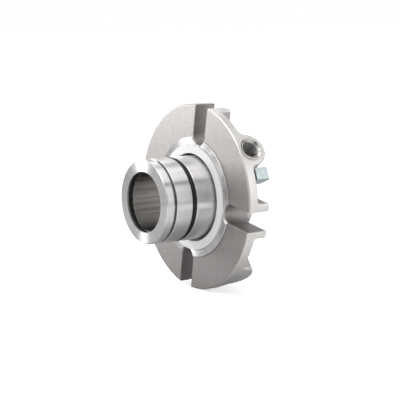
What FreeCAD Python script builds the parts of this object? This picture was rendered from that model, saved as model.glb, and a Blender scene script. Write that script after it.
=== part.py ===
import FreeCAD, Part

import math
import os

import Sketcher
from FreeCAD import Placement, Rotation, Vector

# Cartridge mechanical seal for a 45 mm pump shaft. The shaft axis lies along Y, the pump side faces -Y,
# and the origin is on the axis in the cast front face of the gland. Sizes are in millimetres and degrees.
# A place along the axis is counted from that face, and grows towards the air side.

SIZES = [
    ("gland_turn", 9.0, "turn of the gland about the shaft axis, in degrees"),
    ("gland_radius", 70.0, "outside radius of the gland plate"),
    ("plate_thickness", 8.5, "cast plate at the rim"),
    ("rim_round", 1.3, "round of the rim's front edge"),
    ("rim_back_round", 2.0, "round of the rim's back edge"),
    ("pad_reach", 4.9, "machined pad beyond the nearest point of a slot"),
    ("pad_height", 1.1, "pad above the cast face"),
    ("pad_edge", 0.35, "chamfer on the edge of the pad"),
    ("chamber_gap", 1.95, "room between the turning head and the bore of the gland"),
    ("gasket_width", 6.3, "ring width of the gasket"),
    ("gasket_thickness", 2.2, "thickness of the gasket"),
    ("gasket_gap", 0.3, "room between the gasket and the pad"),
    ("hub_reach", 5.1, "hub behind the plate, beyond the nearest point of a slot"),
    ("hub_back", 20.5, "back face of the hub"),
    ("hub_round", 1.2, "round of the hub's back edge"),
    ("slot_count", 4, "stud slots round the plate"),
    ("slot_width", 14.5, "stud slot, for a 12 mm stud"),
    ("slot_ledge", 0.5, "ledge between the gasket's recess and a slot"),
    ("slot_bevel", 0.3, "bevel of a slot's edges in the cast face, wider in the pad"),
    ("wall_thickness", 6.0, "rib round each slot"),
    ("wall_back", 18.0, "back edge of the ribs"),
    ("wall_setback", 0.7, "outer end of the ribs inside the rim"),
    ("wall_round", 1.3, "round along the back edges of a rib"),
    ("wall_blend", 1.6, "hollow curve from a rib into the plate"),
    ("port_turn", 45.0, "angle from a slot to a port boss, in degrees"),
    ("port_place", 10.8, "port axis from the cast face"),
    ("mouth_stand", 0.3, "flat mouth of the port beyond the rim"),
    ("mouth_radius", 9.4, "flat face round the mouth of the port"),
    ("boss_radius", 12.8, "round back of a port boss"),
    ("boss_blend", 4.5, "hollow curve from a boss into the plate"),
    ("boss_sink", 0.12, "depth of the foot of that curve in the plate"),
    ("port_radius", 6.6, "tapped hole of the flush port"),
    ("port_depth", 13.0, "depth of the tapped hole"),
    ("port_lead", 1.8, "countersink of the tapped hole"),
    ("passage_radius", 2.5, "drilled passage into the seal chamber"),
    ("passage_place", 7.0, "passage axis from the cast face"),
    ("relief_room", 1.5, "back of the bosses turned away beyond the clips, so that they can swing"),
    ("faces_meet", 9.5, "plane where the two seal faces run together"),
    ("film", 0.02, "running film between the faces"),
    ("flange_gap", 0.7, "room round the front flange of the stationary face"),
    ("stator_flange", 0.9, "thickness of that flange"),
    ("stator_section", 3.0, "section of the ring round the stationary face"),
    ("stator_bore_gap", 1.2, "room between the sleeve and the stationary face"),
    ("seat_shoulder", 13.5, "shoulder behind the stationary ring"),
    ("seat_floor", 16.5, "floor that the stationary face rests on"),
    ("seat_gap", 0.3, "room round the stationary face"),
    ("pin_count", 2, "pins of the stationary face"),
    ("pin_inset", 0.9, "pins of the stationary face inside its body"),
    ("pin_radius", 1.0, "pin of the stationary face"),
    ("pin_length", 4.8, "length of that pin"),
    ("pin_depth", 2.6, "depth of the pin's hole in the gland"),
    ("notch_gap", 0.3, "room round the pin in its notch"),
    ("bush_wall", 2.1, "wall of the throttle bush"),
    ("bush_gap", 0.4, "room between the bush and the sleeve"),
    ("bush_place", 17.5, "front face of the throttle bush"),
    ("bush_length", 1.9, "length of the throttle bush"),
    ("snap_thickness", 0.6, "thickness of the bush's snap ring"),
    ("snap_groove", 0.8, "depth of the snap ring's groove"),
    ("snap_opening_turn", 50.0, "opening of the snap ring, in degrees"),
    ("bore_radius", 22.5, "bore of the sleeve, for a 45 mm shaft"),
    ("sleeve_wall", 2.5, "wall of the sleeve"),
    ("sleeve_front", 44.4, "front face of the sleeve ahead of the cast face"),
    ("sleeve_back", 36.2, "back end of the sleeve"),
    ("sleeve_edge", 0.6, "chamfer of that end"),
    ("head_wall", 6.35, "turned head and rings beyond the sleeve"),
    ("head_back", 37.2, "back face of the head ahead of the cast face"),
    ("head_slope", 1.5, "length of the slope behind the head"),
    ("head_slope_depth", 0.75, "depth of that slope"),
    ("head_edge", 0.8, "chamfer of the head's front edge"),
    ("mouth_lip", 1.3, "lip in front of the ring groove in the bore"),
    ("ring_groove", 3.8, "width of the ring groove in the bore"),
    ("ring_section", 3.5, "section of the ring on the shaft"),
    ("ring_proud", 0.15, "how far the ring stands into the bore"),
    ("head_travel", 1.5, "gap between the head and the retainer"),
    ("slide_gap", 0.1, "room of the sliding rings on the sleeve"),
    ("retainer_back", 22.0, "back face of the retainer ahead of the cast face"),
    ("retainer_edge", 0.4, "chamfer of the retainer's edges"),
    ("spigot_length", 7.5, "length of the spigot"),
    ("spigot_gap", 0.08, "room round and behind the spigot"),
    ("cushion_section", 4.0, "section of the cushion ring"),
    ("carrier_back", 7.5, "back end of the face carrier"),
    ("carrier_edge", 0.5, "chamfer of the carrier's edges"),
    ("carrier_floor", 1.0, "floor that the rotary face rests on"),
    ("carrier_wall", 0.9, "wall of the carrier round the rotary face"),
    ("face_gap", 0.05, "room round the rotary face in its carrier"),
    ("face_bore_gap", 0.8, "room between the sleeve and the rotary face"),
    ("face_body_back", 8.0, "back of the rotary face behind its nose"),
    ("nose_step", 1.0, "step from the outside of the rotary face to its running nose"),
    ("nose_width", 2.4, "ring width of the running nose"),
    ("inner_ring_place", 6.2, "middle of the ring on the sleeve ahead of the cast face"),
    ("inner_ring_section", 2.7, "section of the ring on the sleeve"),
    ("inner_groove", 3.4, "width of its groove"),
    ("spring_count", 6, "springs behind the head"),
    ("spring_hole", 1.6, "pocket of a spring"),
    ("spring_depth", 5.0, "depth of the pockets"),
    ("spring_gap", 0.1, "room round a spring in its pocket"),
    ("spring_wire", 0.6, "wire of a spring"),
    ("spring_turns", 5, "turns of a spring"),
    ("drive_pin_count", 2, "drive pins behind the head"),
    ("drive_pin_radius", 1.3, "drive pin"),
    ("drive_pin_seat", 5.0, "length of the drive pin in the head"),
    ("drive_pin_reach", 5.0, "length of the drive pin in the retainer"),
    ("drive_pin_gap", 0.3, "room round a drive pin in the retainer"),
    ("carrier_pin_count", 2, "pins between the retainer and the carrier"),
    ("carrier_pin_radius", 0.7, "carrier pin"),
    ("carrier_pin_length", 6.5, "length of a carrier pin"),
    ("pin_fit", 0.03, "room round a pin that is pressed in"),
    ("collar_front", 22.0, "front face of the lock collar"),
    ("collar_back", 33.0, "back face of the lock collar"),
    ("collar_wall", 7.95, "wall of the lock collar"),
    ("collar_edge", 0.8, "chamfer of the collar's edges"),
    ("collar_fit", 0.05, "room between the collar and the sleeve"),
    ("clip_groove_front", 1.2, "collar in front of the groove for the clips"),
    ("clip_groove", 3.0, "width of the groove for the clips"),
    ("clip_groove_depth", 3.7, "depth of the groove for the clips"),
    ("grub_count", 6, "set screws in the collar"),
    ("grub_place", 29.7, "plane of the set screws"),
    ("grub_radius", 2.5, "set screw"),
    ("grub_tip_gap", 0.5, "tip of a set screw outside the shaft"),
    ("grub_sunk", 0.6, "outer end of a set screw below the outside of the collar"),
    ("grub_point", 0.9, "chamfered point of a set screw"),
    ("grub_hole_gap", 0.2, "room round a set screw in the sleeve"),
    ("thread_fit", 0.03, "room round a screw in its thread"),
    ("overrun", 1.0, "how far a cut starts before a piece and runs on past it"),
    ("grub_socket", 2.5, "key size of a set screw"),
    ("grub_socket_depth", 2.6, "depth of its socket"),
    ("end_ring_stand", 2.3, "snap ring on the sleeve beyond the sleeve"),
    ("end_ring_thickness", 1.1, "thickness of that snap ring"),
    ("end_ring_groove", 0.8, "depth of its groove"),
    ("end_ring_opening_turn", 40.0, "opening of that snap ring, in degrees"),
    ("ring_fit", 0.05, "room of a snap ring in its groove"),
    ("clip_turn", 32.0, "angle from a slot to a setting clip, in degrees"),
    ("clip_inset", 4.5, "circle of the clip screws inside the hub"),
    ("clip_width", 9.2, "width of a setting clip"),
    ("clip_length", 14.0, "outer end of a clip beyond its screw"),
    ("clip_back", 34.0, "back face of a clip"),
    ("clip_slack", 0.05, "room between a clip and the gland"),
    ("clip_slope", 3.6, "slope at the back of a clip's outer end"),
    ("clip_round", 0.6, "round of the clip's edges"),
    ("tongue_width", 5.0, "tongue of a clip"),
    ("tongue_gap", 0.5, "room under the tongue in the groove"),
    ("tongue_slack", 0.1, "room each side of the tongue"),
    ("clip_screw_radius", 2.0, "clip screw"),
    ("clip_screw_gap", 0.08, "room round the screw in the clip"),
    ("clip_screw_seat", 8.5, "length of the clip screw in the gland"),
    ("screw_end_gap", 1.0, "room under the end of the clip screw"),
    ("screw_head_radius", 3.5, "head of a clip screw"),
    ("screw_head_height", 4.0, "height of that head"),
    ("screw_head_gap", 0.25, "room round the head in the clip"),
    ("screw_head_sunk", 0.3, "head below the back face of the clip"),
    ("screw_socket", 3.0, "key size of a clip screw"),
    ("screw_socket_depth", 2.2, "depth of its socket"),
]

doc = FreeCAD.newDocument("CartridgeSeal")
sheet = doc.addObject("Spreadsheet::Sheet", "Sizes")
for row, (alias, value, note) in enumerate(SIZES, 1):
    sheet.set(f"A{row}", alias)
    sheet.set(f"B{row}", str(value))
    sheet.setAlias(f"B{row}", alias)
    sheet.set(f"C{row}", note)
doc.recompute()


class Length:
    """A value with the expression that gives it, so that arithmetic on sizes stays bound to the sheet."""

    def __init__(self, text, value):
        self.text = text
        self.value = value

    def __add__(self, other):
        other = as_length(other)
        return Length(f"({self.text} + {other.text})", self.value + other.value)

    def __sub__(self, other):
        other = as_length(other)
        return Length(f"({self.text} - {other.text})", self.value - other.value)

    def __mul__(self, other):
        other = as_length(other)
        return Length(f"({self.text} * {other.text})", self.value * other.value)

    def __truediv__(self, other):
        other = as_length(other)
        return Length(f"({self.text} / {other.text})", self.value / other.value)

    def __neg__(self):
        return Length(f"(0 - {self.text})", -self.value)

    def __rsub__(self, other):
        return as_length(other) - self

    def __rtruediv__(self, other):
        return as_length(other) / self

    __radd__ = __add__
    __rmul__ = __mul__


def as_length(item):
    return item if isinstance(item, Length) else Length(repr(item), float(item))


def cosine(angle):
    angle = as_length(angle)
    return Length(f"cos({angle.text} * 1 deg)", math.cos(math.radians(angle.value)))


def sine(angle):
    angle = as_length(angle)
    return Length(f"sin({angle.text} * 1 deg)", math.sin(math.radians(angle.value)))


def square_root(item):
    item = as_length(item)
    return Length(f"sqrt({item.text})", math.sqrt(item.value))


class Sheet:
    """Gives every alias of the sheet as a Length."""

    def __getattr__(self, alias):
        return Length(f"Sizes.{alias}", float(sheet.get(alias)))


size = Sheet()

# Radii that follow from the sleeve, from the head, or from the slots.
sleeve_radius = size.bore_radius + size.sleeve_wall
stator_bore = sleeve_radius + size.stator_bore_gap
bush_radius = sleeve_radius + size.bush_gap + size.bush_wall
face_bore = sleeve_radius + size.face_bore_gap
head_radius = sleeve_radius + size.head_wall
collar_radius = sleeve_radius + size.collar_fit + size.collar_wall
clip_groove_floor = collar_radius - size.clip_groove_depth
grub_tip = size.bore_radius + size.grub_tip_gap
grub_head = collar_radius - size.grub_sunk
end_ring_radius = sleeve_radius + size.end_ring_stand
face_radius = head_radius - size.carrier_wall - size.face_gap
nose_outer = face_radius - size.nose_step
nose_inner = nose_outer - size.nose_width
spigot_radius = head_radius - size.cushion_section
spring_circle = (sleeve_radius + head_radius) / 2
carrier_pin_circle = (sleeve_radius + spigot_radius) / 2
chamber_radius = head_radius + size.chamber_gap
stator_flange_radius = chamber_radius - size.flange_gap
stator_radius = chamber_radius - size.stator_section
pin_circle = stator_radius - size.pin_inset
gasket_radius = chamber_radius + size.gasket_width
recess_radius = gasket_radius + size.gasket_gap
slot_end = recess_radius + size.slot_ledge
pad_radius = slot_end + size.pad_reach
hub_radius = slot_end + size.hub_reach
clip_circle = hub_radius - size.clip_inset
clip_reach = clip_circle + size.clip_length
relief_radius = clip_reach + size.relief_room


def bind(item, path, length):
    item.setExpression(path, as_length(length).text)


def new_body(label):
    body = doc.addObject("PartDesign::Body", label)
    body.Label = label
    return body


def origin_part(body, role):
    return next(part for part in body.Origin.OriginFeatures if part.Role == role)


def draw(sketch, corners):
    """Draws a closed outline. A corner is (x, y), reached by a line, or (x, y, centre_x, centre_y, turn),
    reached by an arc that turns left (1) or right (-1)."""
    corners = [tuple(as_length(item) for item in corner[:4]) + corner[4:] for corner in corners]
    for index, corner in enumerate(corners):
        before = corners[index - 1]
        start = Vector(before[0].value, before[1].value)
        end = Vector(corner[0].value, corner[1].value)
        if len(corner) == 2:
            sketch.addGeometry(Part.LineSegment(start, end))
            continue
        centre = Vector(corner[2].value, corner[3].value)
        first, last = (start, end) if corner[4] > 0 else (end, start)
        angles = [math.atan2((p - centre).y, (p - centre).x) for p in (first, last)]
        circle = Part.Circle(centre, Vector(0, 0, 1), (start - centre).Length)
        sketch.addGeometry(Part.ArcOfCircle(circle, *angles))

    def ends(index):
        corner = corners[index]
        return (2, 1) if len(corner) > 2 and corner[4] < 0 else (1, 2)

    for index, corner in enumerate(corners):
        following = (index + 1) % len(corners)
        end_point = ends(index)[1]
        sketch.addConstraint(Sketcher.Constraint("Coincident", index, end_point, following, ends(following)[0]))
        for kind, place in (("DistanceX", corner[0]), ("DistanceY", corner[1])):
            number = sketch.addConstraint(Sketcher.Constraint(kind, -1, 1, index, end_point, place.value))
            bind(sketch, f"Constraints[{number}]", place)
        if len(corner) > 2:
            before = corners[index - 1]
            level = abs(corner[0].value - before[0].value) > abs(corner[1].value - before[1].value)
            kind, place = ("DistanceY", corner[3]) if level else ("DistanceX", corner[2])
            number = sketch.addConstraint(Sketcher.Constraint(kind, -1, 1, index, 3, place.value))
            bind(sketch, f"Constraints[{number}]", place)


def draw_circle(sketch, centre_x, centre_y, radius):
    centre_x, centre_y, radius = (as_length(item) for item in (centre_x, centre_y, radius))
    centre = Vector(centre_x.value, centre_y.value)
    index = sketch.addGeometry(Part.Circle(centre, Vector(0, 0, 1), radius.value))
    for kind, place in (("DistanceX", centre_x), ("DistanceY", centre_y)):
        number = sketch.addConstraint(Sketcher.Constraint(kind, -1, 1, index, 3, place.value))
        bind(sketch, f"Constraints[{number}]", place)
    number = sketch.addConstraint(Sketcher.Constraint("Radius", index, radius.value))
    bind(sketch, f"Constraints[{number}]", radius)


def new_sketch(body, name, role):
    sketch = body.newObject("Sketcher::SketchObject", name)
    sketch.AttachmentSupport = [(origin_part(body, role), "")]
    sketch.MapMode = "FlatFace"
    return sketch


def across_sketch(body, name, place):
    """A sketch across the shaft axis, in X and Z, at a place along it."""
    sketch = new_sketch(body, name, "XZ_Plane")
    bind(sketch, "AttachmentOffset.Base.z", -as_length(place))
    return sketch


def radial_sketch(body, name, angle, distance):
    """A sketch square to a radius at an angle from X towards Z: its x runs along the shaft axis."""
    sketch = new_sketch(body, name, "YZ_Plane")
    angle = as_length(angle)
    distance = as_length(distance)
    sketch.AttachmentOffset = Placement(Vector(), Rotation(Vector(1, 0, 0), -angle.value))
    bind(sketch, "AttachmentOffset.Rotation.Yaw", 0)
    bind(sketch, "AttachmentOffset.Rotation.Pitch", 0)
    bind(sketch, "AttachmentOffset.Rotation.Roll", -angle)
    bind(sketch, "AttachmentOffset.Base.y", distance * sine(angle))
    bind(sketch, "AttachmentOffset.Base.z", distance * cosine(angle))
    return sketch


def turned(body, name, corners, kind="Revolution"):
    """Turns an outline in radius and place along the axis into a ring, or cuts it away as a Groove."""
    sketch = new_sketch(body, f"{name}_outline", "XY_Plane")
    draw(sketch, corners)
    feature = body.newObject(f"PartDesign::{kind}", name)
    feature.Profile = sketch
    feature.ReferenceAxis = (sketch, ["V_Axis"])
    feature.Angle = 360
    sketch.Visibility = False
    return feature


def raised(body, name, sketch, length, reverse=False):
    feature = body.newObject("PartDesign::Pad", name)
    feature.Profile = sketch
    bind(feature, "Length", length)
    feature.Reversed = reverse
    return feature


def cut(body, name, sketch, length, reverse=False):
    feature = body.newObject("PartDesign::Pocket", name)
    feature.Profile = sketch
    bind(feature, "Length", length)
    feature.Reversed = reverse
    return feature


def repeat(body, name, features, count):
    """Repeats features round the shaft axis, or the whole body so far where features is empty."""
    pattern = body.newObject("PartDesign::PolarPattern", name)
    if features:
        pattern.Originals = features
    else:
        pattern.TransformMode = "Whole shape"
    pattern.Axis = (origin_part(body, "Y_Axis"), [""])
    pattern.Angle = 360
    bind(pattern, "Occurrences", count)
    body.Tip = pattern
    return pattern


def dress(body, kind, name, length, choose):
    """Rounds (Fillet) or chamfers the edges that choose picks."""
    doc.recompute()
    base = body.Tip
    names = [f"Edge{index}" for index, edge in enumerate(base.Shape.Edges, 1) if choose(edge)]
    if not names:
        raise RuntimeError(f"{body.Label}: no edges for {name}")
    feature = body.newObject(f"PartDesign::{kind}", name)
    feature.Base = (base, names)
    bind(feature, "Radius" if kind == "Fillet" else "Size", length)
    doc.recompute()
    if not feature.isValid() or feature.Shape.isNull():
        raise RuntimeError(f"{body.Label}: {name} failed on {len(names)} edges")
    return feature


def clock(item):
    """Turns an item of the gland with it about the shaft axis."""
    item.Placement = Placement(Vector(), Rotation(Vector(0, 1, 0), 10))
    bind(item, "Placement.Rotation.Angle", size.gland_turn)


def mean_radius(edge):
    middle = edge.valueAt((edge.FirstParameter + edge.LastParameter) / 2)
    return math.hypot(middle.x, middle.z)


def middle_of(edge):
    return edge.valueAt((edge.FirstParameter + edge.LastParameter) / 2)


def lies_at(edge, place, tolerance=0.01):
    return all(abs(vertex.Point.y - place) < tolerance for vertex in edge.Vertexes) and abs(
        middle_of(edge).y - place) < tolerance


def hexagon(centre_x, centre_y, key):
    """Corners of a hexagon socket of a key size."""
    reach = key / (2 * math.cos(math.radians(30)))
    return [(centre_x + reach * math.cos(math.radians(60 * step)),
             centre_y + reach * math.sin(math.radians(60 * step))) for step in range(6)]


def make_gland():
    body = new_body("gland")
    bush_bore = bush_radius + size.ring_fit
    snap_place = size.bush_place + size.bush_length
    snap_back = snap_place + size.snap_thickness + size.ring_fit
    seat_bore = stator_radius + size.seat_gap
    hub_inner = hub_radius - size.hub_round
    turned(body, "turned_form", [
        (chamber_radius, 0),
        (recess_radius, 0),
        (recess_radius, -size.pad_height),
        (pad_radius - size.pad_edge, -size.pad_height),
        (pad_radius, size.pad_edge - size.pad_height),
        (pad_radius, 0),
        (size.gland_radius, 0),
        (size.gland_radius, size.plate_thickness),
        (hub_radius, size.plate_thickness),
        (hub_radius, size.hub_back - size.hub_round),
        (hub_inner, size.hub_back, hub_inner, size.hub_back - size.hub_round, 1),
        (bush_bore, size.hub_back),
        (bush_bore, snap_back),
        (bush_bore + size.snap_groove, snap_back),
        (bush_bore + size.snap_groove, snap_place),
        (bush_bore, snap_place),
        (bush_bore, size.bush_place),
        (stator_bore, size.bush_place),
        (stator_bore, size.seat_floor),
        (seat_bore, size.seat_floor),
        (seat_bore, size.seat_shoulder),
        (chamber_radius, size.seat_shoulder),
    ])

    # Ribs that stand round each stud slot, and the plain boss, are cast with the plate.
    half_wall = size.slot_width / 2 + size.wall_thickness
    root = chamber_radius + size.seat_gap * 2
    wall_end = size.gland_radius - size.wall_setback
    rib = across_sketch(body, "rib_outline", size.plate_thickness / 2)
    draw(rib, [(root, -half_wall), (wall_end, -half_wall), (wall_end, half_wall), (root, half_wall)])
    rib_pad = raised(body, "rib", rib, size.wall_back - size.plate_thickness / 2, True)
    repeat(body, "ribs", [rib_pad], size.slot_count)

    # A boss is round behind the plate, with a hollow curve down to the plate on each side.
    boss_root = hub_radius - size.boss_radius / 2
    foot = size.plate_thickness - size.boss_sink
    blend_place = foot + size.boss_blend
    rise = blend_place - size.port_place
    both = size.boss_radius + size.boss_blend
    blend_side = square_root(both * both - rise * rise)
    meet_place = size.port_place + rise * size.boss_radius / both
    meet_side = blend_side * size.boss_radius / both
    boss_section = [
        (size.plate_thickness / 2, -blend_side),
        (foot, -blend_side),
        (meet_place, -meet_side, blend_place, -blend_side, -1),
        (meet_place, meet_side, size.port_place, 0, 1),
        (foot, blend_side, blend_place, blend_side, -1),
        (size.plate_thickness / 2, blend_side),
    ]
    for name, angle in (("plain_boss", -size.port_turn), ("port_boss", size.port_turn)):
        section = radial_sketch(body, f"{name}_outline", angle, boss_root)
        draw(section, boss_section)
        raised(body, name, section, size.gland_radius - boss_root + size.boss_radius)

    # Over the hub the bosses are turned away, flush with its back.
    boss_back = size.port_place + size.boss_radius + size.overrun
    turned(body, "relief", [
        (hub_radius - size.boss_radius, size.hub_back),
        (relief_radius, size.hub_back),
        (relief_radius, boss_back),
        (hub_radius - size.boss_radius, boss_back),
    ], "Groove")
    port_mouth = size.gland_radius + size.mouth_stand
    outside = port_mouth + size.boss_radius * 2
    turned(body, "rim_trim", [
        (size.gland_radius, -size.overrun),
        (outside, -size.overrun),
        (outside, boss_back),
        (size.gland_radius, boss_back),
    ], "Groove")

    # A machined face round the mouth of the port stands a little above the rim.
    face = radial_sketch(body, "mouth_outline", size.port_turn, boss_root + size.boss_radius)
    draw_circle(face, size.port_place, 0, size.mouth_radius)
    raised(body, "mouth", face, port_mouth - boss_root - size.boss_radius)

    # The slots go through the plate, the ribs and the edge of the hub, and their front edges are bevelled.
    half_slot = size.slot_width / 2
    slot_middle = slot_end + half_slot
    slot_form = [
        (outside, -half_slot),
        (outside, half_slot),
        (slot_middle, half_slot),
        (slot_middle, -half_slot, slot_middle, 0, 1),
    ]
    slot = across_sketch(body, "slot_outline", -size.pad_height - size.overrun)
    draw(slot, slot_form)
    slot_cut = cut(body, "slot", slot, size.hub_back + size.pad_height + size.overrun * 2)
    repeat(body, "slots", [slot_cut], size.slot_count)
    bevel = across_sketch(body, "bevel_outline", size.slot_bevel)
    draw(bevel, slot_form)
    bevel_cut = cut(body, "bevel", bevel, size.slot_bevel + size.pad_height + size.overrun, True)
    bevel_cut.TaperAngle = 45
    repeat(body, "bevels", [bevel_cut], size.slot_count)

    # The cast edges are rounded.
    rim = size.gland_radius.value
    port_angle = math.radians(size.port_turn.value)

    def rib_foot(edge):
        along = edge.Vertexes[0].Point - edge.Vertexes[-1].Point
        straight = edge.Curve.TypeId == "Part::GeomLine" and along.Length > (rim - hub_radius.value) / 2
        return straight and lies_at(edge, size.plate_thickness.value)

    dress(body, "Fillet", "rib_blends", size.wall_blend, rib_foot)

    def rim_arc(edge, place):
        return lies_at(edge, place) and abs(mean_radius(edge) - rim) < 0.01 and edge.Length > size.slot_width.value

    dress(body, "Fillet", "rim_rounds", size.rim_round, lambda edge: rim_arc(edge, 0))
    dress(body, "Fillet", "rim_back_rounds", size.rim_back_round,
          lambda edge: rim_arc(edge, size.plate_thickness.value))

    def rib_back(edge):
        return lies_at(edge, size.wall_back.value) and mean_radius(edge) > hub_radius.value + 1

    dress(body, "Fillet", "rib_rounds", size.wall_round, rib_back)

    def port_distance(point):
        return point.x * math.cos(port_angle) + point.z * math.sin(port_angle)

    def mouth_edge(edge):
        round_edge = edge.Curve.TypeId == "Part::GeomCircle"
        return round_edge and abs(edge.Curve.Radius - size.mouth_radius.value) < 0.01 and abs(
            port_distance(edge.Curve.Center) - port_mouth.value) < 0.01

    dress(body, "Fillet", "mouth_rounds", size.mouth_stand / 2, mouth_edge)

    # The flush port is tapped from the mouth, and a smaller drilling leads on into the seal chamber.
    hole = radial_sketch(body, "port_outline", size.port_turn, port_mouth)
    draw_circle(hole, size.port_place, 0, size.port_radius)
    cut(body, "port_hole", hole, size.port_depth)
    lead = radial_sketch(body, "countersink_outline", size.port_turn, port_mouth - size.port_lead)
    draw_circle(lead, size.port_place, 0, size.port_radius)
    lead_cut = cut(body, "countersink", lead, size.port_lead + size.overrun, True)
    lead_cut.TaperAngle = 45
    port_bottom = port_mouth - size.port_depth
    passage = radial_sketch(body, "passage_outline", size.port_turn, port_bottom + size.port_lead)
    draw_circle(passage, size.passage_place, 0, size.passage_radius)
    cut(body, "passage", passage, port_bottom - chamber_radius + size.port_lead + size.passage_radius)

    # Tapped holes for the clip screws, and blind holes for the pins of the stationary face.
    tapped = across_sketch(body, "clip_hole_outline", size.hub_back)
    draw_circle(tapped, clip_circle * cosine(size.clip_turn), clip_circle * sine(size.clip_turn),
                size.clip_screw_radius + size.thread_fit)
    tapped_cut = cut(body, "clip_hole", tapped, size.clip_screw_seat + size.screw_end_gap, True)
    repeat(body, "clip_holes", [tapped_cut], size.slot_count)
    pin = across_sketch(body, "pin_hole_outline", size.seat_floor)
    draw_circle(pin, pin_circle, 0, size.pin_radius + size.pin_fit)
    pin_cut = cut(body, "pin_hole", pin, size.pin_depth)
    repeat(body, "pin_holes", [pin_cut], size.pin_count)
    return body


def ring_on_axis(label, middle, inner, section):
    """A rubber ring round the shaft axis, from its inner radius and its section."""
    ring = doc.addObject("Part::Torus", label)
    ring.Label = label
    bind(ring, "Radius1", inner + section / 2)
    bind(ring, "Radius2", section / 2)
    ring.Placement = Placement(Vector(), Rotation(Vector(1, 0, 0), 90))
    bind(ring, "Placement.Base.y", middle)
    return ring


def square_ring(label, inner, outer, front, back):
    body = new_body(label)
    turned(body, "ring", [(inner, front), (outer, front), (outer, back), (inner, back)])
    return body


def make_gasket():
    return square_ring("gland_gasket", chamber_radius, gasket_radius, -size.gasket_thickness, 0)


def make_stationary_face():
    body = new_body("stationary_face")
    front = size.faces_meet
    flange_back = front + size.stator_flange
    turned(body, "ring", [
        (stator_bore, front),
        (stator_flange_radius, front),
        (stator_flange_radius, flange_back),
        (stator_radius, flange_back),
        (stator_radius, size.seat_floor),
        (stator_bore, size.seat_floor),
    ])
    # Notches at the back take the pins in the gland.
    inner = pin_circle - size.pin_radius - size.notch_gap
    outer = stator_radius + size.seat_gap
    half = size.pin_radius + size.notch_gap
    notch = across_sketch(body, "notch_outline", size.seat_floor)
    draw(notch, [(inner, -half), (outer, -half), (outer, half), (inner, half)])
    depth = size.pin_length - size.pin_depth + size.notch_gap * 2
    notch_cut = cut(body, "notch", notch, depth, True)
    repeat(body, "notches", [notch_cut], size.pin_count)
    return body


def make_pins():
    body = new_body("anti_rotation_pins")
    pin = across_sketch(body, "pin_outline", size.seat_floor + size.pin_depth - size.pin_fit)
    draw_circle(pin, pin_circle, 0, size.pin_radius)
    pin_pad = raised(body, "pin", pin, size.pin_length)
    repeat(body, "pins", [pin_pad], size.pin_count)
    return body


def make_stationary_ring():
    middle = (size.faces_meet + size.stator_flange + size.seat_shoulder) / 2
    return ring_on_axis("stationary_o_ring", middle, stator_radius, size.stator_section)


def make_bush():
    inner = sleeve_radius + size.bush_gap
    front = size.bush_place
    return square_ring("throttle_bush", inner, bush_radius, front, front + size.bush_length)


def snap_ring(label, inner, outer, front, thickness, opening):
    """A flat ring with an opening towards +X."""
    body = square_ring(label, inner, outer, front, front + thickness)
    wedge = across_sketch(body, "opening_outline", front - thickness)
    reach = outer * 2
    side = reach * sine(opening / 2)
    draw(wedge, [(0, 0), (reach, -side), (reach, side)])
    cut(body, "opening", wedge, thickness * 3)
    return body


def make_bush_ring():
    outer = bush_radius + size.snap_groove
    front = size.bush_place + size.bush_length + size.ring_fit / 2
    inner = sleeve_radius + size.bush_gap * 2
    return snap_ring("bush_ring", inner, outer, front, size.snap_thickness, size.snap_opening_turn)


def make_clip_screws():
    body = new_body("clip_screws")
    head_top = size.clip_back - size.screw_head_sunk
    under_head = head_top - size.screw_head_height
    shank_end = size.hub_back - size.clip_screw_seat
    centre_x = clip_circle * cosine(size.clip_turn)
    centre_y = clip_circle * sine(size.clip_turn)
    head = across_sketch(body, "head_outline", under_head)
    draw_circle(head, centre_x, centre_y, size.screw_head_radius)
    raised(body, "head", head, size.screw_head_height, True)
    shank = across_sketch(body, "shank_outline", shank_end)
    draw_circle(shank, centre_x, centre_y, size.clip_screw_radius)
    raised(body, "shank", shank, under_head - shank_end, True)
    socket = across_sketch(body, "socket_outline", head_top)
    draw(socket, hexagon(centre_x, centre_y, size.screw_socket))
    cut(body, "socket", socket, size.screw_socket_depth, True)
    repeat(body, "screws", [], size.slot_count)
    return body


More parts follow.
